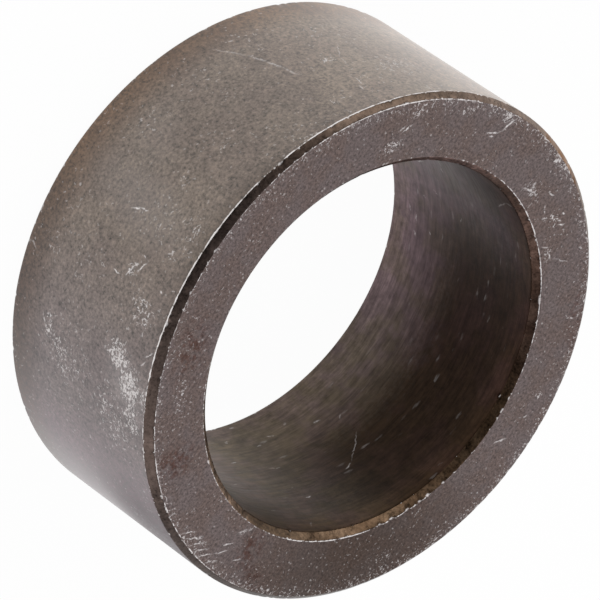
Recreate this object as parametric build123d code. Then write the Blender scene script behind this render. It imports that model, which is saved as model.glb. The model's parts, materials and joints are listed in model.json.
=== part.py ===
from build123d import *
import os

# A plain steel bushing: one thick ring, turned from bar, with a straight bore.
# Each end is faced flat. All four rims are bevelled at 45 degrees, so that the
# bushing starts squarely into its housing, and a pin starts squarely into the bore.
# It stands on one end. The origin is the middle of that end, and +Z runs up the bore.

# Driving dimensions, in millimetres. The bore and the wall give an outside diameter of 75.
BORE_DIAMETER = 55.0
WALL_THICKNESS = 10.0
LENGTH = 32.0
OUTSIDE_BEVEL = 1.0
BORE_BEVEL = 0.9

bore_radius = BORE_DIAMETER / 2


def wall_section():
    """One side of the ring cut along its axis: a rectangle with its four corners bevelled."""
    section = Plane.XZ * Pos(bore_radius, 0) * Rectangle(WALL_THICKNESS, LENGTH, align=Align.MIN)
    section = chamfer(section.vertices().group_by(Axis.X)[-1], OUTSIDE_BEVEL)
    section = chamfer(section.vertices().group_by(Axis.X)[0], BORE_BEVEL)
    return section


def bushing():
    """The whole ring: the wall section turned once round the axis of the bore."""
    return revolve(wall_section(), Axis.Z)


os.makedirs("parts", exist_ok=True)
export_step(bushing(), "parts/bushing.step")
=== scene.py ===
import json
import math

import bpy
import numpy as np
from mathutils import Matrix, Vector


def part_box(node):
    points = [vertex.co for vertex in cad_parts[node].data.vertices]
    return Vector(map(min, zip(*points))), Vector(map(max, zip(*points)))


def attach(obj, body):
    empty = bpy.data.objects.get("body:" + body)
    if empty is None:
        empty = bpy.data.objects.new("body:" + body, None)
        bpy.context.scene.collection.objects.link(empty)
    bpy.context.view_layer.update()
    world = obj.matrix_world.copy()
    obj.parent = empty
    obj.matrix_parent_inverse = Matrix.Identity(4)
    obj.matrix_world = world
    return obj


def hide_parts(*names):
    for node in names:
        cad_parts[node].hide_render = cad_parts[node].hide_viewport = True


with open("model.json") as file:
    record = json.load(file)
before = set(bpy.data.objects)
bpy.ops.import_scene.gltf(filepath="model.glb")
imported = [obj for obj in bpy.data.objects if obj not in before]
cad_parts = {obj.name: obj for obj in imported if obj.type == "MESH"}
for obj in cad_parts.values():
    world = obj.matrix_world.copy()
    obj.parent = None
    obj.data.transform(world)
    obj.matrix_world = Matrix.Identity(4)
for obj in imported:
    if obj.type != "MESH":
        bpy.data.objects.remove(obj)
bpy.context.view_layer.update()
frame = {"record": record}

# The ring
# One thick steel bushing, turned from bar, bored straight through and faced flat at both ends.
# Its four rims are bevelled, and handling has rounded and nicked them. It stands on one end.
MM = 0.001
ring_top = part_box("bushing")[1]
OUTSIDE_RADIUS = min(ring_top.x, ring_top.y)
HEIGHT = ring_top.z
bore_mount = next(mount for mount in frame["record"]["mounts"] if mount["name"] == "bore")
BORE_RADIUS = bore_mount["dims"]["r_mm"] * MM

# The outside bevel was cut a little off centre. Its upper legs, on the end and on the wall, are in
# mm, by degrees round from the front (the -Y side) towards +X. The bore's lower end is hardly more
# than deburred.
LEG_ON_END = (
    (-135, 0.80), (-90, 0.68), (-50, 0.70), (-25, 0.92), (0, 1.14), (30, 1.16), (60, 0.93),
    (100, 0.66),
)
LEG_ON_WALL = (
    (-135, 0.85), (-110, 0.75), (-70, 0.95), (-45, 0.68), (-20, 0.68), (10, 0.74), (50, 1.08),
    (105, 0.66),
)
LOWER_BEVEL = 0.95 * MM
LOWER_BEVEL_DRIFT = 0.06 * MM
BORE_BEVEL = 0.90 * MM
BORE_BEVEL_DRIFT = 0.054 * MM
LOWER_BORE_BEVEL = 0.40 * MM
LOWER_BORE_BEVEL_DRIFT = 0.04 * MM
WORN_EDGE_RADIUS = 0.29 * MM
WORN_EDGE_DRIFT = 0.06 * MM

SEGMENTS = 1040
FRONT = -90
around = np.linspace(0, 2 * math.pi, SEGMENTS, endpoint=False)
from_front = np.degrees(around) - FRONT


def slow_drift(waves, seed):
    """A smooth value from -1 to 1 that changes slowly round the ring and meets itself."""
    phases = np.random.default_rng(seed).uniform(0, 2 * math.pi, waves)
    total = sum(np.cos((n + 1) * around + phases[n]) / (n + 1) for n in range(waves))
    return total / np.abs(total).max()


def round_the_ring(pairs):
    """A value for each segment, from pairs of (degrees round from the front, value)."""
    degrees, values = zip(*pairs)
    return np.interp(from_front, degrees, values, period=360)


leg_on_end = round_the_ring(LEG_ON_END) * MM
leg_on_wall = round_the_ring(LEG_ON_WALL) * MM
foot_leg = LOWER_BEVEL + LOWER_BEVEL_DRIFT * slow_drift(waves=2, seed=3)
mouth_leg = BORE_BEVEL + BORE_BEVEL_DRIFT * slow_drift(waves=3, seed=4)
lower_mouth_leg = LOWER_BORE_BEVEL + LOWER_BORE_BEVEL_DRIFT * slow_drift(waves=3, seed=6)
edge_radius = (WORN_EDGE_RADIUS + WORN_EDGE_DRIFT * slow_drift(waves=9, seed=5))[:, None]

# The corners of the wall's section, as (radius, height) for every segment. They and their rims are
# numbered so: 0 and 1 up the outside wall, 2 and 3 across the upper end, 4 and 5 down the bore,
# 6 and 7 across the lower end.
full = np.ones(SEGMENTS)
corner_places = [
    (OUTSIDE_RADIUS * full, foot_leg),
    (OUTSIDE_RADIUS * full, HEIGHT - leg_on_wall),
    (OUTSIDE_RADIUS - leg_on_end, HEIGHT * full),
    (BORE_RADIUS + mouth_leg, HEIGHT * full),
    (BORE_RADIUS * full, HEIGHT - mouth_leg),
    (BORE_RADIUS * full, lower_mouth_leg),
    (BORE_RADIUS + lower_mouth_leg, 0 * full),
    (OUTSIDE_RADIUS - foot_leg, 0 * full),
]
corners = [np.stack(corner, axis=1) for corner in corner_places]

# How bare each rim is worn, as pairs of (degrees round from the front towards +X, share). Across a
# rim, the bare band leans away from the bevel, in the shares of EDGE_PROFILE.
RIM_SHINE = (
    ((0, 0.3),),
    (
        (-90, 0.6), (-60, 0.8), (-30, 1.0), (-15, 0.7), (0, 1.0), (20, 1.0), (45, 0.85), (75, 0.35),
        (180, 0.3),
    ),
    (
        (-150, 0.5), (-120, 0.4), (-75, 0.7), (-50, 1.0), (-15, 0.7), (35, 0.7), (50, 0.9),
        (90, 0.75), (110, 0.45),
    ),
    (
        (-180, 0.4), (-150, 0.85), (-105, 0.85), (-60, 0.3), (0, 0.3), (45, 0.75), (90, 0.65),
        (120, 0.9), (150, 0.75),
    ),
    ((0, 0.1),),
    ((0, 0.2),),
    ((0, 0.5),),
    ((0, 0.5),),
)
EDGE_PROFILE = (1.0, 1.0, 0.8, 0.3, 0.0)
ARC_STEPS = len(EDGE_PROFILE) - 1

# Each stretch runs from one corner to the next, with this many steps and this finish. The finishes
# are numbered in the order in which their materials are added below.
WALL, BEVEL, END, BORE, BORE_MOUTH = range(5)
STRETCHES = (
    (15, WALL), (3, BEVEL), (12, END), (3, BORE_MOUTH),
    (14, BORE), (3, BORE_MOUTH), (9, END), (3, BEVEL),
)


def towards(start, end):
    """Unit vectors from one point of each segment to another."""
    return (end - start) / np.linalg.norm(end - start, axis=1, keepdims=True)


def rounding(k):
    """Where the worn rounding of corner k starts and ends, in each segment."""
    here = corners[k % len(corners)]
    back = towards(here, corners[(k - 1) % len(corners)])
    onward = towards(here, corners[(k + 1) % len(corners)])
    turn = np.pi - np.arccos(np.clip((back * onward).sum(axis=1, keepdims=True), -1, 1))
    reach = edge_radius * np.tan(turn / 2)
    return here + back * reach, here + onward * reach


rings = []
ring_finish = []
ring_edge = []
middle_rings = []
for k, (steps, finish) in enumerate(STRETCHES):
    start, end = rounding(k)
    next_start = rounding(k + 1)[0]
    shine = round_the_ring(RIM_SHINE[k])
    profile = EDGE_PROFILE if k % 2 else EDGE_PROFILE[::-1]
    for step in range(ARC_STEPS + 1):
        t = step / ARC_STEPS
        rings.append((1 - t) ** 2 * start + 2 * t * (1 - t) * corners[k] + t ** 2 * end)
        ring_finish.append(finish if t >= 0.5 else STRETCHES[k - 1][1])
        ring_edge.append(profile[step] * shine)
    middle_rings.append(len(rings) - 1 - ARC_STEPS // 2)
    for step in range(1, steps):
        t = 0.5 - 0.5 * math.cos(math.pi * step / steps)
        rings.append(end + (next_start - end) * t)
        ring_finish.append(finish)
        ring_edge.append(0 * full)

section = np.stack(rings, axis=1)
edge = np.stack(ring_edge, axis=1)

# Outward direction of the section at each point, for the dents
along = np.roll(section, -1, axis=1) - np.roll(section, 1, axis=1)
outward = np.stack([along[..., 1], -along[..., 0]], axis=2)
outward /= np.linalg.norm(outward, axis=2, keepdims=True)

# Bruises on the rims: many fine ones, as (rim, how many), and a few large ones where the photograph
# shows them, as (rim, degrees round from the front, half width in mm, depth in mm).
FINE_BRUISES = ((1, 150), (2, 190), (3, 110), (4, 30), (5, 30), (6, 70), (7, 110), (0, 90))
LARGE_BRUISES = (
    (2, -103.0, 0.9, 0.22), (2, -108.5, 0.5, 0.14), (2, -111.0, 0.7, 0.26), (2, -96.0, 0.5, 0.16),
    (2, -126.0, 0.4, 0.12), (2, -143.0, 0.5, 0.12), (2, 152.0, 0.5, 0.10), (2, 61.0, 0.5, 0.14),
    (2, 12.0, 0.5, 0.14), (2, 2.0, 0.4, 0.12), (1, 20.0, 0.6, 0.12), (1, -20.0, 0.5, 0.10),
    (3, -139.5, 1.0, 0.20), (3, 138.0, 0.4, 0.16), (3, 142.0, 0.5, 0.22), (3, 147.5, 0.5, 0.24),
    (3, 152.0, 0.4, 0.20), (3, 155.0, 0.5, 0.18), (3, 60.0, 0.5, 0.14), (3, -105.0, 0.4, 0.16),
)
NARROWEST_BRUISE = 0.10
FINE_BRUISE_SPREAD = 0.22
FINE_BRUISE_DEPTHS = (0.12, 0.38)
REACH_ACROSS_RIM = 0.8
FURTHEST_ACROSS_RIM = 0.36
rng = np.random.default_rng(11)
bruises = []
for rim, count in FINE_BRUISES:
    for _ in range(count):
        width = NARROWEST_BRUISE + FINE_BRUISE_SPREAD * rng.random() ** 2
        bruises.append((rim, rng.uniform(-180, 180), width, width * rng.uniform(*FINE_BRUISE_DEPTHS)))
bruises += LARGE_BRUISES
nick = np.zeros(edge.shape)
for rim, degrees, width, depth in bruises:
    middle = middle_rings[rim]
    angle_off = np.angle(np.exp(1j * (around - math.radians(degrees + FRONT))))
    along_rim = np.abs(angle_off) * section[:, middle, 0] / MM
    near = np.where(along_rim < 3 * width)[0]
    across_rim = np.linalg.norm(section[near] - section[near, middle][:, None], axis=2) / MM
    reach = min(REACH_ACROSS_RIM * width, FURTHEST_ACROSS_RIM)
    fall = np.exp(-((along_rim[near][:, None] / width) ** 2)) * np.exp(-((across_rim / reach) ** 2))
    section[near] -= outward[near] * (fall * depth * MM)[..., None]
    nick[near] = np.maximum(nick[near], fall)

x = section[..., 0] * np.cos(around)[:, None]
y = section[..., 0] * np.sin(around)[:, None]
points = np.stack([x, y, section[..., 1]], axis=2).reshape(-1, 3)
ring_count = len(rings)
faces = []
finishes = []
for i in range(SEGMENTS):
    here = i * ring_count
    beside = ((i + 1) % SEGMENTS) * ring_count
    for j in range(ring_count):
        following = (j + 1) % ring_count
        faces.append((here + j, beside + j, beside + following, here + following))
        finishes.append(ring_finish[j])

FLAT_FACE_WEIGHT = 60
ring_mesh = bpy.data.meshes.new("turned_ring")
ring_mesh.from_pydata(points.tolist(), [], faces)
ring_mesh.polygons.foreach_set("material_index", finishes)
ring_mesh.polygons.foreach_set("use_smooth", [True] * len(faces))
for name, values in (("edge", edge), ("nick", nick)):
    ring_mesh.attributes.new(name, "FLOAT", "POINT").data.foreach_set("value", values.ravel())
ring = bpy.data.objects.new("turned_ring", ring_mesh)
bpy.context.scene.collection.objects.link(ring)
flats = ring.modifiers.new("flats stay flat", "WEIGHTED_NORMAL")
flats.weight = FLAT_FACE_WEIGHT


def give(tree, node, inputs):
    """Sets a node's inputs, given by name or place, to plain values or to other sockets."""
    for name, value in inputs.items():
        if isinstance(value, bpy.types.NodeSocket):
            tree.links.new(value, node.inputs[name])
        else:
            node.inputs[name].default_value = value


def add_node(tree, kind, inputs=None, **settings):
    """A node with its settings and its inputs."""
    made = tree.nodes.new("ShaderNode" + kind)
    for name, value in settings.items():
        setattr(made, name, value)
    give(tree, made, inputs or {})
    return made


def compute(tree, operation, a, b=0.0, clamp=False):
    return add_node(tree, "Math", {0: a, 1: b}, operation=operation, use_clamp=clamp).outputs[0]


def times(tree, a, b):
    return compute(tree, "MULTIPLY", a, b)


def highest(tree, first, *others):
    """The highest of several shares at each place."""
    for other in others:
        first = compute(tree, "MAXIMUM", first, other)
    return first


def blend_colors(tree, share, a, b, kind="MIX"):
    """Color a, changed into b by the share."""
    mixed = add_node(tree, "Mix", {0: share, 6: a, 7: b}, data_type="RGBA", blend_type=kind)
    return mixed.outputs[2]


def ramp(tree, value, low, high, to_low=0.0, to_high=1.0):
    """The value from low to high becomes to_low to to_high, softly."""
    made = add_node(tree, "MapRange", {0: value, 1: low, 2: high, 3: to_low, 4: to_high})
    made.interpolation_type = "SMOOTHSTEP"
    return made.outputs[0]


def spread(tree, soft_noise, low, high):
    """Soft noise, spread from low to high. It stays mostly between 0.3 and 0.7."""
    return ramp(tree, soft_noise, 0.3, 0.7, low, high)


def scale_vector(tree, vector, factor):
    return add_node(tree, "VectorMath", {0: vector, "Scale": factor}, operation="SCALE").outputs[0]


def noise(tree, place, scale, detail, roughness, distortion=0.0):
    """Soft noise, about 0.5 on average."""
    settings = {"Scale": scale, "Detail": detail, "Roughness": roughness, "Distortion": distortion}
    return add_node(tree, "TexNoise", {"Vector": place, **settings}).outputs["Fac"]


def new_group(name, inputs, outputs):
    """An empty shader node group with its named sockets."""
    group = bpy.data.node_groups.new(name, "ShaderNodeTree")
    for label, (kind, value) in inputs.items():
        socket = group.interface.new_socket(label, in_out="INPUT", socket_type="NodeSocket" + kind)
        if value is not None:
            socket.default_value = value
    for label, kind in outputs.items():
        group.interface.new_socket(label, in_out="OUTPUT", socket_type="NodeSocket" + kind)
    return group, group.nodes.new("NodeGroupInput").outputs, group.nodes.new("NodeGroupOutput").inputs


def use_group(tree, group, inputs):
    made = tree.nodes.new("ShaderNodeGroup")
    made.node_tree = group
    give(tree, made, inputs)
    return made.outputs


# Oxide skin: two tones in slow patches, clouded every few millimetres and finely grained.
oxide_skin, given, out = new_group(
    "oxide_skin",
    {
        "Place": ("Vector", None),
        "Tone": ("Color", (0.2, 0.17, 0.14, 1)),
        "Other Tone": ("Color", (0.17, 0.14, 0.14, 1)),
        "Patch Size": ("Float", 9.0),
        "Cloud Depth": ("Float", 0.5),
        "Grain Size": ("Float", 0.35),
        "Grain Depth": ("Float", 1.5),
    },
    {"Color": "Color", "Grain": "Float"},
)
tree = oxide_skin
CLOUD_SIZE = 1.7
patch_scale = compute(tree, "DIVIDE", 1.0, given["Patch Size"])
patches = noise(tree, given["Place"], patch_scale, detail=5.0, roughness=0.6)
patch_share = ramp(tree, patches, low=0.40, high=0.60)
clouds = noise(tree, given["Place"], 1 / CLOUD_SIZE, detail=2.0, roughness=0.6)
grain_scale = compute(tree, "DIVIDE", 1.0, given["Grain Size"])
grain = noise(tree, given["Place"], grain_scale, detail=4.0, roughness=0.72)
cloud_part = times(tree, compute(tree, "SUBTRACT", clouds, 0.5), given["Cloud Depth"])
grain_part = times(tree, compute(tree, "SUBTRACT", grain, 0.5), given["Grain Depth"])
lightness = compute(tree, "ADD", compute(tree, "ADD", cloud_part, grain_part), 1.0)
toned = blend_colors(tree, patch_share, given["Tone"], given["Other Tone"])
tree.links.new(scale_vector(tree, toned, lightness), out["Color"])
tree.links.new(grain, out["Grain"])

# Specks: small spots, each a little out of round, in a share of the places where one could be.
specks, given, out = new_group(
    "specks",
    {"Place": ("Vector", None), "Size": ("Float", 0.6), "Amount": ("Float", 0.1)},
    {"Mask": "Float"},
)
tree = specks
OUT_OF_ROUND = 0.5
unevenness = {"Vector": given["Place"], "Scale": 3.0, "Detail": 1.0}
wobble = scale_vector(tree, add_node(tree, "TexNoise", unevenness).outputs["Color"], OUT_OF_ROUND)
moved = add_node(tree, "VectorMath", {0: given["Place"], 1: wobble}, operation="ADD").outputs[0]
speck_scale = compute(tree, "DIVIDE", 1.0, given["Size"])
cells = add_node(tree, "TexVoronoi", {"Vector": moved, "Scale": speck_scale}).outputs
cell_color = add_node(tree, "SeparateColor", {0: cells["Color"]}).outputs
kept = compute(tree, "LESS_THAN", cell_color[0], given["Amount"])
spot = ramp(tree, cells["Distance"], low=0.10, high=0.40, to_low=1.0, to_high=0.0)
tree.links.new(times(tree, times(tree, spot, kept), cell_color[1]), out["Mask"])

# Wobble: shifts a place by a fraction of a millimetre, so that no mark is drawn with a ruler.
wobbly, given, out = new_group(
    "wobbly", {"Place": ("Vector", None), "Shift": ("Float", 0.4)}, {"Place": "Vector"}
)
tree = wobbly
shake_noise = {"Vector": given["Place"], "Scale": 1.1, "Detail": 3.0}
shake = add_node(tree, "TexNoise", shake_noise).outputs["Color"]
shake = add_node(tree, "VectorMath", {0: shake, 1: (0.5, 0.5, 0.5)}, operation="SUBTRACT").outputs[0]
shake = scale_vector(tree, shake, given["Shift"])
shaken = add_node(tree, "VectorMath", {0: given["Place"], 1: shake}, operation="ADD").outputs[0]
tree.links.new(shaken, out["Place"])

# A rub: a soft oval area on the unrolled surface, strongest at its middle. A thin one is a scratch.
rub, given, out = new_group(
    "rub",
    {
        "Place": ("Vector", None),
        "Centre": ("Vector", None),
        "Turn": ("Vector", None),
        "Half Size": ("Vector", (1, 1, 1)),
        "Strength": ("Float", 1.0),
    },
    {"Mask": "Float"},
)
tree = rub
oval = {
    "Vector": given["Place"],
    "Location": given["Centre"],
    "Rotation": given["Turn"],
    "Scale": given["Half Size"],
}
in_oval = add_node(tree, "Mapping", oval, vector_type="TEXTURE").outputs[0]
from_middle = add_node(tree, "VectorMath", {0: in_oval}, operation="LENGTH").outputs["Value"]
fading = ramp(tree, from_middle, low=1.0, high=0.1, to_low=0.0, to_high=given["Strength"])
tree.links.new(fading, out["Mask"])

# Scuff marks: specks and thin curls of bare steel, close together where the rub is strongest.
scuff_marks, given, out = new_group(
    "scuff_marks",
    {"Place": ("Vector", None), "Rubbed": ("Float", 0.0), "Mark Size": ("Float", 0.5)},
    {"Mask": "Float"},
)
tree = scuff_marks
UNRUBBED_DAB_LEVEL = 0.76
DAB_LEVEL_DROP = 0.23
DAB_SOFTNESS = 0.10
UNRUBBED_CURL_LEVEL = 0.69
CURL_LEVEL_DROP = 0.25
CURL_SOFTNESS = 0.12
PATH_SCALE = 0.55
PIECE_SCALE = 0.73
mark_scale = compute(tree, "DIVIDE", 1.0, given["Mark Size"])
dab_noise = noise(tree, given["Place"], mark_scale, detail=2.0, roughness=0.55, distortion=1.2)
dab_level = compute(tree, "SUBTRACT", UNRUBBED_DAB_LEVEL, times(tree, given["Rubbed"], DAB_LEVEL_DROP))
dabs = ramp(tree, dab_noise, dab_level, compute(tree, "ADD", dab_level, DAB_SOFTNESS))
path_scale = times(tree, mark_scale, PATH_SCALE)
paths = noise(tree, given["Place"], path_scale, detail=1.0, roughness=0.5, distortion=0.6)
off_path = compute(tree, "ABSOLUTE", compute(tree, "SUBTRACT", paths, 0.5))
on_path = ramp(tree, off_path, low=0.055, high=0.015)
pieces = noise(tree, given["Place"], times(tree, mark_scale, PIECE_SCALE), detail=1.0, roughness=0.5)
curl_level = compute(tree, "SUBTRACT", UNRUBBED_CURL_LEVEL, times(tree, given["Rubbed"], CURL_LEVEL_DROP))
unbroken = ramp(tree, pieces, curl_level, compute(tree, "ADD", curl_level, CURL_SOFTNESS))
tree.links.new(highest(tree, dabs, times(tree, on_path, unbroken)), out["Mask"])

# Handling wear: where the surface has been rubbed at all, in patches of a few millimetres.
handling, given, out = new_group(
    "handling",
    {"Place": ("Vector", None), "Patch Size": ("Float", 6.0), "Most": ("Float", 0.5)},
    {"Rubbed": "Float"},
)
tree = handling
patch_scale = compute(tree, "DIVIDE", 1.0, given["Patch Size"])
handled = noise(tree, given["Place"], patch_scale, detail=3.0, roughness=0.6)
tree.links.new(times(tree, ramp(tree, handled, low=0.35, high=0.68), given["Most"]), out["Rubbed"])

# Worn edge: bare bright steel along a rounded rim and in its bruises, broken up along its length.
worn_edge, given, out = new_group(
    "worn_edge",
    {
        "Place": ("Vector", None),
        "Edge": ("Float", 0.0),
        "Nick": ("Float", 0.0),
        "Bead Size": ("Float", 0.8),
    },
    {"Mask": "Float"},
)
tree = worn_edge
UNWORN_LEVEL = 0.86
WORN_LEVEL_DROP = 0.56
BEAD_SOFTNESS = 0.16
bead_scale = compute(tree, "DIVIDE", 1.0, given["Bead Size"])
beads = noise(tree, given["Place"], bead_scale, detail=3.0, roughness=0.7)
bead_level = compute(tree, "SUBTRACT", UNWORN_LEVEL, times(tree, given["Edge"], WORN_LEVEL_DROP))
beaded = ramp(tree, beads, bead_level, compute(tree, "ADD", bead_level, BEAD_SOFTNESS))
rim_bare = times(tree, ramp(tree, given["Edge"], low=0.0, high=0.35), beaded)
bruise_level = times(tree, given["Nick"], beads)
bruised = ramp(tree, bruise_level, low=0.24, high=0.50, to_low=0.0, to_high=0.8)
tree.links.new(highest(tree, rim_bare, bruised), out["Mask"])

# Cutting lines: fine lines left by the tool, each running a short way round the ring.
cutting_lines, given, out = new_group(
    "cutting_lines",
    {
        "Across": ("Float", 0.0),
        "Place": ("Vector", None),
        "Pitch": ("Float", 0.4),
        "Run": ("Float", 12.0),
    },
    {"Lines": "Float"},
)
tree = cutting_lines
squeezed = scale_vector(tree, given["Place"], compute(tree, "DIVIDE", 1.0, given["Run"]))
line_number = compute(tree, "DIVIDE", given["Across"], given["Pitch"])
layer = add_node(tree, "CombineXYZ", {"Z": line_number}).outputs[0]
lined = add_node(tree, "VectorMath", {0: squeezed, 1: layer}, operation="ADD").outputs[0]
tree.links.new(noise(tree, lined, scale=1.0, detail=2.0, roughness=0.6), out["Lines"])

BARE_STEEL = (0.80, 0.76, 0.75, 1)
COAT_ROUGHNESS = 0.30
STROKE_SHIFT = 0.8


def surface_places(tree, radius, seam_behind=True):
    """The place in mm, with its parts, and two flat forms of it: unrolled is (arc, height), with the
    arc from the front towards +X, or from behind towards -X, and flat is (x, y)."""
    coordinates = add_node(tree, "TexCoord").outputs["Object"]
    place = scale_vector(tree, coordinates, 1 / MM)
    x, y, height = add_node(tree, "SeparateXYZ", {0: place}).outputs
    side = 1.0 if seam_behind else -1.0
    angle = compute(tree, "ARCTAN2", times(tree, x, side), times(tree, y, -side))
    arc = times(tree, angle, radius / MM)
    unrolled = add_node(tree, "CombineXYZ", {"X": arc, "Y": height}).outputs[0]
    flat = add_node(tree, "CombineXYZ", {"X": x, "Y": y}).outputs[0]
    radial = add_node(tree, "VectorMath", {0: flat}, operation="LENGTH").outputs["Value"]
    return {
        "place": place, "unrolled": unrolled, "flat": flat, "radial": radial,
        "x": x, "y": y, "height": height, "arc": arc,
    }


def add_rubs(tree, place, rubs):
    """The strongest of several rubs at each place. Each is (centre, half size, degrees turned, strength)."""
    strongest = 0.0
    for centre, half, turned, strength in rubs:
        oval = {"Centre": (*centre, 0), "Turn": (0, 0, math.radians(turned)), "Half Size": (*half, 1)}
        mask = use_group(tree, rub, {"Place": place, **oval, "Strength": strength})["Mask"]
        strongest = highest(tree, strongest, mask)
    return strongest


def add_strokes(tree, place, strokes):
    """Scratches: thin rubs, a little broken and bent. Each is (from, to, width, strength) in mm."""
    rubs = []
    for start, end, width, strength in strokes:
        centre = (Vector(start) + Vector(end)) / 2
        along = Vector(end) - Vector(start)
        half = (0.6 * along.length + 0.5 * width, 0.5 * width)
        rubs.append((centre, half, math.degrees(math.atan2(along.y, along.x)), strength))
    shaken = use_group(tree, wobbly, {"Place": place, "Shift": STROKE_SHIFT})["Place"]
    breaks = noise(tree, place, scale=2.6, detail=2.0, roughness=0.6)
    return times(tree, add_rubs(tree, shaken, rubs), ramp(tree, breaks, low=0.34, high=0.54))


def tint(tree, share, color, factor):
    """The color, multiplied by the factor where the share is full."""
    return blend_colors(tree, share, color, (*factor, 1), "MULTIPLY")


def tint_along(tree, measure, color, tints):
    """The color, tinted along one measure. Each tint is (where it starts, where it is full, factor)."""
    for start, end, factor in tints:
        color = tint(tree, ramp(tree, measure, start, end), color, factor)
    return color


def add_pits(tree, place, color, size, strength, pit_color):
    """The color with small dark pits."""
    pits = use_group(tree, specks, {"Place": place, "Size": size, "Amount": 0.10})["Mask"]
    return blend_colors(tree, times(tree, pits, strength), color, pit_color)


def worn_rim(tree, place, bead_size):
    """The bare share along the rims, from the wear that the mesh carries."""
    edge_value = add_node(tree, "Attribute", attribute_name="edge").outputs["Fac"]
    nick_value = add_node(tree, "Attribute", attribute_name="nick").outputs["Fac"]
    worn = {"Place": place, "Edge": edge_value, "Nick": nick_value, "Bead Size": bead_size}
    return use_group(tree, worn_edge, worn)["Mask"]


def knocked_bare(tree, place, rubbed, scratched, wear):
    """The bare share of a face: its scuffs, scattered dots and scratches, and the rims round it."""
    marks = {"Place": place, "Rubbed": rubbed, "Mark Size": wear["mark size"]}
    scuffed = use_group(tree, scuff_marks, marks)["Mask"]
    scuffed = times(tree, scuffed, ramp(tree, rubbed, 0.2, 1.0, *wear["scuff strengths"]))
    scattered = {"Place": place, "Size": wear["dot size"], "Amount": wear["dot amount"]}
    dots = times(tree, use_group(tree, specks, scattered)["Mask"], wear["dot strength"])
    return highest(tree, scuffed, dots, scratched, worn_rim(tree, place, wear["bead size"]))


def new_material(name):
    material = bpy.data.materials.new(name)
    material.use_nodes = True
    ring_mesh.materials.append(material)
    return material.node_tree


def finish_material(tree, color, bare, roughness, height, bump_mm, metallic, coat):
    """Joins a surface's color, bare share, roughness and height to its shader."""
    bump = add_node(tree, "Bump", {"Height": height, "Distance": bump_mm * MM, "Strength": 1.0})
    finish = {
        "Base Color": blend_colors(tree, bare, color, BARE_STEEL),
        "Metallic": metallic,
        "Roughness": roughness,
        "Coat Weight": coat,
        "Coat Roughness": COAT_ROUGHNESS,
        "Normal": bump.outputs[0],
    }
    give(tree, tree.nodes["Principled BSDF"], finish)


# Outside wall: a brown-grey oxide skin, olive in the middle and purple-grey towards +X. Towards -X
# it is painted much paler, a painted highlight, and along its top under the bevel at the front it is
# darkened with painted shade. It is rubbed pale in patches, and scuffed and scratched where other
# parts have knocked against it. Places on it are (arc, height) in mm. The side tints, with the
# painted highlight, fade out behind.
OUTSIDE_SKIN = {
    "Tone": (0.186, 0.146, 0.117, 1),
    "Other Tone": (0.164, 0.126, 0.103, 1),
    "Patch Size": 8.0,
    "Cloud Depth": 0.70,
    "Grain Size": 0.48,
    "Grain Depth": 3.6,
}
# Tints round the wall. The first two are the wall's own tone; the last two paint the -X side paler, a
# painted highlight.
OUTSIDE_TONES_AND_PAINTED_HIGHLIGHT = (
    (2.0, 30.0, (0.89, 0.90, 1.09)),
    (30.0, 42.0, (1.02, 0.87, 1.00)),
    (-20.0, -34.0, (1.33, 1.32, 1.28)),
    (-34.0, -58.0, (1.92, 1.92, 1.95)),
)
DARK_CORNER_TINT = (0.50, 0.48, 0.51)
# Painted shade: the top of the wall, just under the bevel at the front, is darkened by this tint.
PAINTED_SHADE_UNDER_BEVEL_TINT = (0.68, 0.65, 0.62)
BROWN_FOOT_TINT = (0.74, 0.56, 0.41)
DULL_FOOT_TINT = (0.72, 0.74, 0.78)
HAZE_COLOR = (0.62, 0.60, 0.60, 1)
HAZE_STRENGTH = 0.10
OUTSIDE_PIT = (0.05, 0.035, 0.028, 1)
OUTSIDE_WEAR = {
    "mark size": 0.50,
    "scuff strengths": (0.28, 0.70),
    "dot size": 0.55,
    "dot amount": 0.06,
    "dot strength": 0.4,
    "bead size": 1.4,
}
SCUFF_DEPTH = 0.6
OILED_COAT = 0.8
DRY_COAT = 0.15
# Where the painted shade under the bevel lies, as (centre, half size, degrees turned, strength).
OUTSIDE_PAINTED_SHADE_UNDER_BEVEL = [((-3.0, 31.6), (28.0, 3.4), 0, 1.0)]
OUTSIDE_HAZE = [
    ((1.5, 17.0), (15.0, 6.5), 80, 0.8), ((24.0, 26.0), (8.0, 5.0), 45, 1.3),
    ((-6.0, 12.0), (10.0, 6.0), 40, 0.4),
]
OUTSIDE_RUBS = [
    ((20.9, 24.2), (5.5, 3.6), 60, 1.25), ((24.0, 27.2), (5.5, 4.2), 30, 1.3),
    ((28.2, 28.2), (5.5, 3.6), 10, 1.1), ((24.5, 30.2), (3.0, 1.6), 0, 1.0),
    ((4.8, 26.6), (3.2, 2.2), 40, 0.8), ((2.0, 22.6), (3.4, 2.2), 60, 0.7),
    ((-4.1, 20.5), (4.2, 2.3), 70, 0.7), ((13.8, 26.3), (6.0, 4.2), 60, 0.90),
    ((26.6, 13.0), (10.0, 6.0), 64, 0.80), ((-31.6, 17.9), (2.4, 2.0), 0, 0.9),
    ((-26.3, 27.2), (2.8, 2.0), 0, 0.8), ((9.6, 21.4), (3.0, 1.8), 140, 1.0),
    ((30.5, 24.0), (11.0, 8.0), 20, 0.76), ((-40.0, 22.0), (10.0, 6.0), 10, 0.70),
    ((13.0, 6.0), (6.0, 3.5), 0, 0.66), ((23.5, 9.0), (4.5, 2.0), 0, 0.95),
    ((1.0, 28.0), (6.0, 2.4), 0, 0.72),
]
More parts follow.
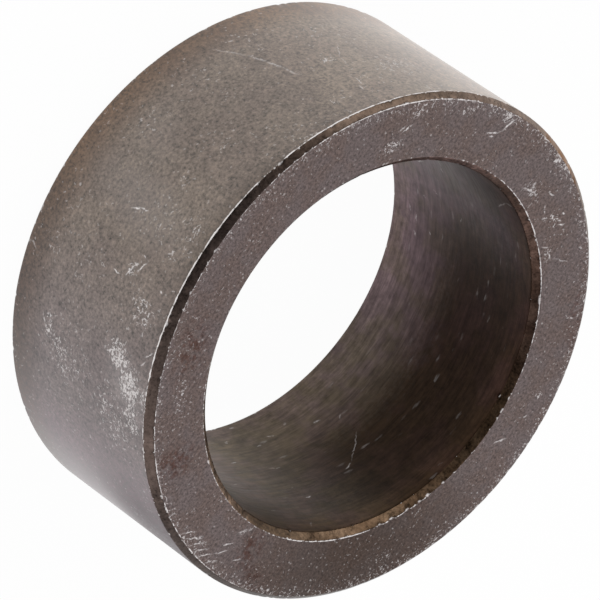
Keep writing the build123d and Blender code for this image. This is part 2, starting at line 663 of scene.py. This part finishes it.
OUTSIDE_STROKES = [
    ((2.9, 16.1), (2.3, 17.5), 0.46, 1.0), ((2.3, 17.5), (2.1, 18.8), 0.40, 1.0),
    ((11.0, 18.3), (11.2, 19.4), 0.36, 0.9), ((10.8, 20.9), (9.2, 21.5), 0.40, 1.0),
    ((8.7, 21.3), (8.8, 22.1), 0.34, 0.8), ((9.4, 22.5), (7.8, 23.4), 0.46, 1.0),
    ((7.2, 21.9), (7.3, 22.9), 0.30, 0.6), ((9.9, 27.9), (9.9, 28.1), 0.46, 0.9),
    ((8.8, 29.9), (8.7, 30.2), 0.40, 0.7), ((18.7, 29.3), (17.7, 30.5), 0.36, 0.8),
    ((20.2, 28.8), (19.3, 29.6), 0.34, 0.6), ((24.6, 28.4), (23.7, 29.3), 0.40, 0.8),
    ((23.7, 30.1), (23.0, 30.2), 0.34, 0.7), ((21.3, 26.5), (20.5, 26.5), 0.34, 0.7),
    ((22.6, 26.7), (23.3, 28.4), 0.70, 0.55), ((23.2, 26.0), (23.7, 27.1), 0.50, 0.5),
    ((20.3, 22.4), (20.7, 23.5), 0.44, 0.9), ((21.8, 23.0), (21.8, 23.8), 0.40, 0.8),
    ((-21.5, 5.2), (-24.0, 10.2), 0.50, 0.30), ((-24.0, 10.2), (-25.0, 13.4), 0.60, 0.38),
    ((-25.0, 13.4), (-25.6, 15.6), 0.70, 0.50), ((-25.6, 15.6), (-26.2, 18.7), 0.60, 0.34),
    ((-36.0, 14.2), (-33.6, 18.0), 0.32, 0.4), ((-33.6, 18.0), (-33.0, 20.7), 0.28, 0.35),
    ((-31.7, 23.8), (-31.5, 25.9), 0.32, 0.6), ((-30.8, 25.7), (-30.7, 27.0), 0.32, 0.5),
    ((22.3, 7.3), (24.6, 8.7), 0.34, 0.6), ((14.3, 1.6), (15.0, 2.9), 0.5, 0.4),
]
tree = new_material("outside_oxide")
where = surface_places(tree, OUTSIDE_RADIUS)
place, unrolled = where["place"], where["unrolled"]
arc, height = where["arc"], where["height"]
skin = use_group(tree, oxide_skin, {"Place": place, **OUTSIDE_SKIN})
# The wall's tone, with the painted highlight towards -X
toned = tint_along(tree, arc, skin["Color"], OUTSIDE_TONES_AND_PAINTED_HIGHLIGHT)
dark_corner = times(tree, ramp(tree, arc, low=33.0, high=50.0), ramp(tree, height, low=10.0, high=26.0))
toned = tint(tree, dark_corner, toned, DARK_CORNER_TINT)
behind = ramp(tree, compute(tree, "ABSOLUTE", arc), low=60.0, high=95.0)
toned = blend_colors(tree, behind, toned, skin["Color"])
# Painted shade along the top of the wall, under the bevel at the front
toned = tint(tree, add_rubs(tree, unrolled, OUTSIDE_PAINTED_SHADE_UNDER_BEVEL), toned, PAINTED_SHADE_UNDER_BEVEL_TINT)
foot = ramp(tree, height, low=9.0, high=1.0)
toned = tint(tree, foot, toned, BROWN_FOOT_TINT)
toned = tint(tree, times(tree, foot, ramp(tree, arc, low=0.0, high=12.0)), toned, DULL_FOOT_TINT)
haze = times(tree, add_rubs(tree, unrolled, OUTSIDE_HAZE), HAZE_STRENGTH)
toned = blend_colors(tree, haze, toned, HAZE_COLOR)
toned = add_pits(tree, place, toned, size=0.85, strength=0.6, pit_color=OUTSIDE_PIT)
handled = use_group(tree, handling, {"Place": place, "Patch Size": 7.0, "Most": 0.52})["Rubbed"]
rubbed = highest(tree, add_rubs(tree, unrolled, OUTSIDE_RUBS), handled)
scratched = add_strokes(tree, unrolled, OUTSIDE_STROKES)
bare = knocked_bare(tree, place, rubbed, scratched, OUTSIDE_WEAR)
roughness = spread(tree, skin["Grain"], low=0.34, high=0.50)
relief = compute(tree, "SUBTRACT", skin["Grain"], times(tree, bare, SCUFF_DEPTH))
coat = ramp(tree, dark_corner, low=0.0, high=1.0, to_low=OILED_COAT, to_high=DRY_COAT)
finish_material(tree, toned, bare, roughness, relief, bump_mm=0.02, metallic=0.85, coat=coat)

# Outside bevels: stained nearly black-brown, with their rims more worn on one side and a little rust.
# They are darkened on the +X half and a little on the -X side, partly stain and partly painted shade,
# and painted much paler at the far -X side, a painted highlight. Their tints run along x, in mm.
BEVEL_SKIN = {
    "Tone": (0.122, 0.090, 0.071, 1),
    "Other Tone": (0.091, 0.066, 0.052, 1),
    "Patch Size": 6.0,
    "Cloud Depth": 1.0,
    "Grain Size": 0.45,
    "Grain Depth": 2.4,
}
# Tints along x. The first two darken the bevel, partly stain and partly painted shade; the last paints the
# far -X side paler, a painted highlight.
BEVEL_STAIN_SHADE_AND_HIGHLIGHT = (
    (-30.0, -6.0, (0.62, 0.62, 0.68)),
    (-4.0, -14.0, (0.80, 0.78, 0.74)),
    (-31.0, -37.0, (2.4, 2.4, 2.5)),
)
RUST_TINT = (1.15, 0.85, 0.55)
tree = new_material("outside_bevel")
where = surface_places(tree, OUTSIDE_RADIUS)
skin = use_group(tree, oxide_skin, {"Place": where["place"], **BEVEL_SKIN})
# Stain and painted shade round the bevel, and the painted highlight at the far -X side
toned = tint_along(tree, where["x"], skin["Color"], BEVEL_STAIN_SHADE_AND_HIGHLIGHT)
rusty = times(tree, ramp(tree, where["x"], low=-20.0, high=-32.0), ramp(tree, where["y"], low=0.0, high=8.0))
toned = tint(tree, rusty, toned, RUST_TINT)
bare = worn_rim(tree, where["place"], bead_size=1.0)
roughness = spread(tree, skin["Grain"], low=0.26, high=0.38)
finish_material(tree, toned, bare, roughness, skin["Grain"], bump_mm=0.01, metallic=1.0, coat=0.0)

# End faces: faced flat, with a purple-grey skin that is browner on one side, red-brown stains, and
# the marks of other parts knocked against it, thickest near the outer rim. Places on them are (x, y)
# in mm.
END_SKIN = {
    "Tone": (0.156, 0.123, 0.119, 1),
    "Other Tone": (0.150, 0.111, 0.101, 1),
    "Patch Size": 5.0,
    "Cloud Depth": 0.20,
    "Grain Size": 0.40,
    "Grain Depth": 3.0,
}
DARK_SIDE_TINT = (0.53, 0.49, 0.44)
STAIN_TINT = (0.62, 0.42, 0.36)
END_PIT = (0.045, 0.030, 0.026, 1)
RIM_RUBBED = 0.72
END_WEAR = {
    "mark size": 0.39,
    "scuff strengths": (0.28, 0.78),
    "dot size": 0.48,
    "dot amount": 0.12,
    "dot strength": 0.5,
    "bead size": 0.7,
}
END_DARK_SIDE = [((24.5, 20.5), (30.0, 17.0), 130, 1.0)]
END_STAINS = [
    ((27.5, -19.5), (6.0, 4.0), -30, 1.0), ((31.5, 2.3), (4.5, 3.5), 0, 1.0),
    ((34.0, 5.5), (4.5, 2.5), 80, 0.9), ((13.7, -29.3), (7.0, 4.0), 25, 0.9),
    ((-20.0, 30.0), (9.0, 3.0), 35, 0.7),
]
END_RUBS = [
    ((-35.8, -5.0), (2.6, 1.8), 80, 1.1), ((-29.5, -19.4), (5.0, 2.0), -35, 0.9),
    ((-29.9, 7.6), (3.2, 1.8), 75, 0.95), ((-28.3, 14.3), (2.8, 1.6), 40, 0.95),
    ((-24.3, 17.4), (2.6, 1.6), 55, 0.9), ((-35.2, 9.5), (5.5, 1.4), 100, 1.0),
    ((34.3, -7.4), (5.5, 1.8), 95, 0.75), ((-8.1, 32.6), (3.0, 1.6), 60, 0.75),
    ((-23.2, -20.2), (4.0, 2.2), -40, 0.9), ((-33.2, -12.0), (4.5, 1.8), -60, 0.8),
    ((19.5, -26.0), (7.0, 2.4), 40, 0.75), ((13.1, -34.4), (5.0, 1.6), 20, 0.8),
    ((23.0, 25.2), (6.0, 3.0), 130, 0.6),
]
END_STROKES = [
    ((-36.2, -3.3), (-33.6, -4.4), 0.46, 1.0), ((-33.6, -4.4), (-32.1, -6.8), 0.42, 0.9),
    ((-32.2, -5.6), (-32.3, -5.3), 0.50, 1.0), ((-29.3, 5.6), (-29.8, 8.5), 0.50, 0.75),
    ((-30.9, 10.5), (-31.0, 11.6), 0.50, 0.95), ((-29.1, 11.4), (-28.4, 12.2), 0.40, 0.9),
    ((-27.5, 12.4), (-28.1, 13.2), 0.40, 0.7), ((-28.7, 14.7), (-28.8, 15.7), 0.40, 0.9),
    ((-28.3, 15.8), (-28.7, 16.6), 0.44, 1.0), ((-24.5, 16.9), (-23.8, 18.4), 0.42, 0.9),
    ((-24.5, 15.8), (-24.9, 16.7), 0.36, 0.7), ((-29.9, 15.2), (-29.8, 15.4), 0.50, 1.0),
    ((-24.1, 19.0), (-25.1, 21.8), 0.34, 0.5), ((-27.3, -19.3), (-25.5, -20.2), 0.32, 0.9),
    ((-26.6, -20.2), (-25.3, -20.8), 0.30, 0.8), ((34.7, -10.6), (33.3, -8.5), 0.34, 0.9),
    ((34.9, -9.3), (33.5, -6.7), 0.34, 0.9), ((35.3, -7.9), (33.9, -5.9), 0.34, 0.9),
    ((35.6, -6.5), (34.4, -4.6), 0.34, 0.9), ((36.1, -5.3), (34.7, -3.4), 0.34, 0.9),
    ((36.2, -3.5), (35.1, -1.7), 0.34, 0.9), ((34.5, -3.1), (33.3, -1.3), 0.34, 0.9),
    ((32.9, -2.6), (32.0, -1.2), 0.34, 0.9), ((34.0, 0.6), (33.2, 1.9), 0.34, 0.6),
    ((30.7, -1.6), (29.3, -0.3), 0.34, 0.6), ((30.7, -1.3), (28.6, 0.8), 0.44, 0.40),
    ((1.2, 30.6), (-0.5, 32.3), 0.36, 0.7), ((-3.8, 32.0), (-4.7, 33.3), 0.34, 0.6),
    ((-18.7, 28.3), (-19.2, 29.2), 0.34, 0.7),
]
tree = new_material("end_face")
where = surface_places(tree, OUTSIDE_RADIUS)
place, flat = where["place"], where["flat"]
skin = use_group(tree, oxide_skin, {"Place": place, **END_SKIN})
toned = tint(tree, add_rubs(tree, flat, END_DARK_SIDE), skin["Color"], DARK_SIDE_TINT)
blotches = noise(tree, place, scale=0.9, detail=3.0, roughness=0.65)
stained = times(tree, add_rubs(tree, flat, END_STAINS), ramp(tree, blotches, low=0.42, high=0.62))
toned = tint(tree, stained, toned, STAIN_TINT)
toned = add_pits(tree, place, toned, size=0.9, strength=0.2, pit_color=END_PIT)
near_rim = ramp(tree, where["radial"], low=33.2, high=36.6, to_low=0.0, to_high=RIM_RUBBED)
handled = use_group(tree, handling, {"Place": place, "Patch Size": 5.0, "Most": 0.48})["Rubbed"]
rubbed = highest(tree, add_rubs(tree, flat, END_RUBS), near_rim, handled)
scratched = add_strokes(tree, flat, END_STROKES)
bare = knocked_bare(tree, place, rubbed, scratched, END_WEAR)
roughness = spread(tree, skin["Grain"], low=0.36, high=0.50)
relief = compute(tree, "SUBTRACT", skin["Grain"], times(tree, bare, SCUFF_DEPTH))
finish_material(tree, toned, bare, roughness, relief, bump_mm=0.012, metallic=0.9, coat=0.0)

# Bore: bored with a fine feed, so it has faint close lines round it. It is darkened with painted
# shade, light at the lower end and at the sides and deep towards the upper end, and painted paler at
# the foot on the -X side and at the +X side, as painted light. A few small pale marks show on it.
# Places on it are (arc, height) in mm, with the arc from behind towards -X.
BORE_SKIN = {
    "Tone": (0.104, 0.077, 0.074, 1),
    "Other Tone": (0.090, 0.070, 0.055, 1),
    "Patch Size": 6.0,
    "Cloud Depth": 0.9,
    "Grain Size": 0.6,
    "Grain Depth": 1.0,
}
# Tints along x. The first two are the bore's own tone, purple-grey towards -X and olive towards +X; the last
# paints the +X side paler, as painted light.
BORE_TONES_AND_PAINTED_LIGHT = (
    (4.0, -18.0, (0.98, 0.91, 1.04)),
    (-2.0, 18.0, (1.02, 1.00, 0.88)),
    (20.0, 26.0, (1.35, 1.32, 1.25)),
)
# Painted shade in the bore: its tint, its unevenness in mm of height, and how much is left at the sides and
# the mouth.
BORE_PAINTED_SHADE_TINT = (0.23, 0.175, 0.135)
PAINTED_SHADE_UNEVENNESS = 1.5
PAINTED_SHADE_AT_SIDES = 0.42
PAINTED_SHADE_AT_MOUTH = 0.80
PAINTED_SHADE_AT_MOUTH_SIDES = 0.35
MOUTH_TINT = (1.12, 0.94, 0.76)
# Painted light: the bore's lower end on the -X side is made paler by this factor.
PAINTED_LIGHT_FOOT_TINT = (1.42, 1.42, 1.42)
CUTTING_PITCH = 0.28
STREAK_PITCH = 0.8
DRAWN_OUT = (0.35, 1.0, 1.0)
BORE_DOT_STRENGTH = 0.12
BORE_STROKE_STRENGTH = 0.6
BORE_STROKES = [
    ((20.5, 5.5), (19.7, 5.7), 0.42, 0.5), ((18.0, 5.6), (17.4, 5.8), 0.46, 0.4),
    ((19.5, 8.6), (19.1, 9.0), 0.42, 0.4), ((26.7, 9.9), (26.5, 10.5), 0.40, 0.4),
    ((24.6, 7.1), (24.3, 7.7), 0.40, 0.35), ((30.7, 7.4), (31.5, 9.0), 0.40, 0.5),
    ((33.1, 13.5), (32.2, 13.7), 0.34, 0.4), ((21.4, 4.0), (20.7, 4.2), 0.46, 0.3),
    ((24.9, 15.6), (24.1, 15.6), 0.40, 0.25), ((32.8, 26.1), (35.3, 29.2), 0.44, 1.0),
    ((35.3, 29.2), (35.7, 30.7), 0.44, 1.0), ((-22.8, 1.4), (-22.5, 1.5), 0.50, 0.5),
    ((-26.1, 4.7), (-25.5, 4.2), 0.44, 0.5), ((-20.1, 6.1), (-19.1, 6.7), 0.42, 0.4),
    ((-22.6, 7.3), (-22.0, 7.3), 0.42, 0.3), ((-29.1, 10.0), (-28.2, 9.9), 0.44, 0.5),
    ((-24.7, 13.1), (-23.3, 13.5), 0.40, 0.3), ((-34.1, 16.9), (-33.2, 16.5), 0.42, 0.4),
    ((-25.2, 21.9), (-24.3, 22.1), 0.46, 0.9), ((-13.5, 8.5), (-12.9, 8.6), 0.50, 0.5),
    ((-33.5, 24.7), (-32.7, 24.4), 0.40, 0.3), ((-29.2, 28.4), (-30.1, 29.5), 0.50, 0.5),
    ((-10.7, 10.9), (-10.2, 10.4), 0.42, 0.3), ((-16.8, 5.6), (-16.3, 5.2), 0.42, 0.3),
    ((-10.6, 14.7), (-15.3, 19.1), 0.26, 0.35), ((-15.3, 19.1), (-16.7, 19.8), 0.30, 0.5),
]
tree = new_material("bore_wall")
where = surface_places(tree, BORE_RADIUS, seam_behind=False)
place, unrolled = where["place"], where["unrolled"]
x, height = where["x"], where["height"]
skin = use_group(tree, oxide_skin, {"Place": place, **BORE_SKIN})
# Painted shade: deepest towards the upper end, lighter at the sides and at the very mouth, with a ragged
# edge.
uneven = compute(tree, "ADD", height, spread(tree, skin["Grain"], -PAINTED_SHADE_UNEVENNESS, PAINTED_SHADE_UNEVENNESS))
sides = highest(tree, ramp(tree, x, low=11.0, high=26.0), ramp(tree, x, low=-16.0, high=-27.0))
mouth = ramp(tree, height, low=25.0, high=31.0)
mouth_sides = times(tree, sides, ramp(tree, height, low=24.0, high=30.0))
painted_shade = ramp(tree, uneven, low=4.0, high=18.0)
painted_shade = times(tree, painted_shade, ramp(tree, height, low=25.0, high=31.0, to_low=1.0, to_high=PAINTED_SHADE_AT_MOUTH))
for share, left in ((sides, PAINTED_SHADE_AT_SIDES), (mouth_sides, PAINTED_SHADE_AT_MOUTH_SIDES)):
    painted_shade = times(tree, painted_shade, ramp(tree, share, low=0.0, high=1.0, to_low=1.0, to_high=left))
# The bore's tone, with painted light on the +X side
toned = tint_along(tree, x, skin["Color"], BORE_TONES_AND_PAINTED_LIGHT)
# The painted shade, tinted into the bore's color
toned = tint(tree, painted_shade, toned, BORE_PAINTED_SHADE_TINT)
# Painted light at the foot of the bore on the -X side
painted_light_foot = times(tree, ramp(tree, height, low=8.0, high=1.0), ramp(tree, x, low=0.0, high=-14.0))
toned = tint(tree, painted_light_foot, toned, PAINTED_LIGHT_FOOT_TINT)
toned = tint(tree, mouth, toned, MOUTH_TINT)
cuts = {"Across": height, "Place": place}
cutting = use_group(tree, cutting_lines, {**cuts, "Pitch": CUTTING_PITCH, "Run": 3.0})["Lines"]
streaks = use_group(tree, cutting_lines, {**cuts, "Pitch": STREAK_PITCH, "Run": 4.0})["Lines"]
toned = scale_vector(tree, toned, spread(tree, cutting, low=0.84, high=1.16))
toned = scale_vector(tree, toned, spread(tree, streaks, low=0.80, high=1.20))
drawn_out = add_node(tree, "VectorMath", {0: unrolled, 1: DRAWN_OUT}, operation="MULTIPLY").outputs[0]
dots = use_group(tree, specks, {"Place": drawn_out, "Size": 0.8, "Amount": 0.10})["Mask"]
dots = times(tree, dots, BORE_DOT_STRENGTH)
scratched = times(tree, add_strokes(tree, unrolled, BORE_STROKES), BORE_STROKE_STRENGTH)
bare = highest(tree, dots, scratched, worn_rim(tree, place, bead_size=1.0))
roughness = spread(tree, cutting, low=0.34, high=0.46)
finish_material(tree, toned, bare, roughness, cutting, bump_mm=0.01, metallic=1.0, coat=0.0)

# Bore bevels: rusty brown on one side and dark on the other, and paler towards the front. Their
# tints run along x and y, in mm.
MOUTH_SKIN = {
    "Tone": (0.090, 0.058, 0.036, 1),
    "Other Tone": (0.060, 0.037, 0.022, 1),
    "Patch Size": 3.0,
    "Cloud Depth": 1.8,
    "Grain Size": 0.4,
    "Grain Depth": 3.2,
}
MOUTH_SIDES = (
    (-1.0, -14.0, (0.46, 0.44, 0.54)),
    (19.0, 26.0, (1.45, 1.50, 1.55)),
    (-19.0, -26.0, (2.4, 2.4, 2.5)),
)
MOUTH_FRONT = ((2.0, -8.0, (2.6, 2.7, 3.0)),)
tree = new_material("bore_bevel")
where = surface_places(tree, BORE_RADIUS)
skin = use_group(tree, oxide_skin, {"Place": where["place"], **MOUTH_SKIN})
toned = tint_along(tree, where["x"], skin["Color"], MOUTH_SIDES)
toned = tint_along(tree, where["y"], toned, MOUTH_FRONT)
bare = worn_rim(tree, where["place"], bead_size=0.8)
roughness = spread(tree, skin["Grain"], low=0.32, high=0.45)
finish_material(tree, toned, bare, roughness, skin["Grain"], bump_mm=0.01, metallic=1.0, coat=0.0)

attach(ring, "root")
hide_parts("bushing")

# The floor
# A plain pale sheet that the ring stands on. It shows near white to the camera and in the steel,
# and it keeps the ring's soft shadow.
FLOOR_HALF = 3.0
FLOOR_COLOR = (0.88, 0.88, 0.88, 1)
FLOOR_WHITE_SHARE = 0.97
floor_mesh = bpy.data.meshes.new("studio_floor")
floor_signs = ((-1, -1), (1, -1), (1, 1), (-1, 1))
floor_corners = [(x_sign * FLOOR_HALF, y_sign * FLOOR_HALF, 0) for x_sign, y_sign in floor_signs]
floor_mesh.from_pydata(floor_corners, [], [(0, 1, 2, 3)])
floor = bpy.data.objects.new("studio_floor", floor_mesh)
bpy.context.scene.collection.objects.link(floor)
floor_material = bpy.data.materials.new("floor_white")
floor_material.use_nodes = True
floor_mesh.materials.append(floor_material)
tree = floor_material.node_tree
tree.nodes.clear()
path = add_node(tree, "LightPath").outputs
mirrored = compute(tree, "ADD", path["Is Glossy Ray"], path["Is Transmission Ray"])
seen = compute(tree, "ADD", path["Is Camera Ray"], mirrored, clamp=True)
matte = add_node(tree, "BsdfDiffuse", {"Color": FLOOR_COLOR})
white = add_node(tree, "Emission", {"Color": (1, 1, 1, 1), "Strength": 1.0})
white_share = times(tree, seen, FLOOR_WHITE_SHARE)
mixed = add_node(tree, "MixShader", {0: white_share, 1: matte.outputs[0], 2: white.outputs[0]})
surface = add_node(tree, "OutputMaterial")
tree.links.new(mixed.outputs[0], surface.inputs["Surface"])

# The studio
# A nearly even white room, a little dimmer overhead, and two large soft lamps. High up in front, at
# -Y, a part of it is dark, and that is what the near bevel shows.
WALL_WHITE = (0.98, 0.98, 0.99, 1)
OVERHEAD_WHITE = (0.88, 0.88, 0.89, 1)
DARK_PART = (0.14, 0.14, 0.14, 1)
DARK_DIRECTION = (0.0, -0.70, 0.71)
world = bpy.data.worlds.new("studio")
bpy.context.scene.world = world
world.use_nodes = True
tree = world.node_tree
direction = add_node(tree, "TexCoord").outputs["Generated"]
rise = add_node(tree, "SeparateXYZ", {0: direction}).outputs[2]
room = blend_colors(tree, ramp(tree, rise, low=0.05, high=0.85), WALL_WHITE, OVERHEAD_WHITE)
facing = add_node(tree, "VectorMath", {0: direction, 1: DARK_DIRECTION}, operation="DOT_PRODUCT")
dark_share = ramp(tree, facing.outputs["Value"], low=0.74, high=0.93)
room = blend_colors(tree, dark_share, room, DARK_PART)
give(tree, tree.nodes["Background"], {"Color": room, "Strength": 1.0})


def soft_lamp(name, place, width, height, watts):
    """A large soft lamp that faces the ring."""
    lamp = bpy.data.lights.new(name, "AREA")
    lamp.shape = "RECTANGLE"
    lamp.size = width
    lamp.size_y = height
    lamp.energy = watts
    placed = bpy.data.objects.new(name, lamp)
    placed.location = place
    placed.rotation_euler = (ring_middle - Vector(place)).to_track_quat("-Z", "Y").to_euler()
    bpy.context.scene.collection.objects.link(placed)


ring_middle = Vector((0, 0, HEIGHT / 2))
soft_lamp("key_lamp", place=(-0.85, -0.15, 0.55), width=0.7, height=0.5, watts=3.0)
soft_lamp("fill_lamp", place=(0.85, -0.25, 0.40), width=0.7, height=0.5, watts=1.5)

# The camera
# It stands well back with a long lens, looks down at the ring, and is rolled so that the ring's
# axis points down to the right of the picture.
CAMERA_DISTANCE = 0.9588
CAMERA_ELEVATION = math.radians(42.92)
CAMERA_ROLL = math.radians(124.96)
LENS_MM = 424.9
SENSOR_MM = 36.0
AIM_RIGHT = 0.42 * MM
AIM_DOWN = 0.05 * MM
tilt = Matrix.Rotation(math.pi / 2 - CAMERA_ELEVATION, 3, "X")
turned_view = tilt @ Matrix.Rotation(CAMERA_ROLL, 3, "Z")
right, up, back = turned_view.col[0], turned_view.col[1], turned_view.col[2]
camera_data = bpy.data.cameras.new("camera")
camera_data.lens = LENS_MM
camera_data.sensor_width = SENSOR_MM
camera = bpy.data.objects.new("camera", camera_data)
camera.rotation_euler = turned_view.to_euler()
camera.location = ring_middle - AIM_RIGHT * right + AIM_DOWN * up + CAMERA_DISTANCE * back
bpy.context.scene.collection.objects.link(camera)
bpy.context.scene.camera = camera
bpy.context.scene.view_settings.view_transform = "Standard"
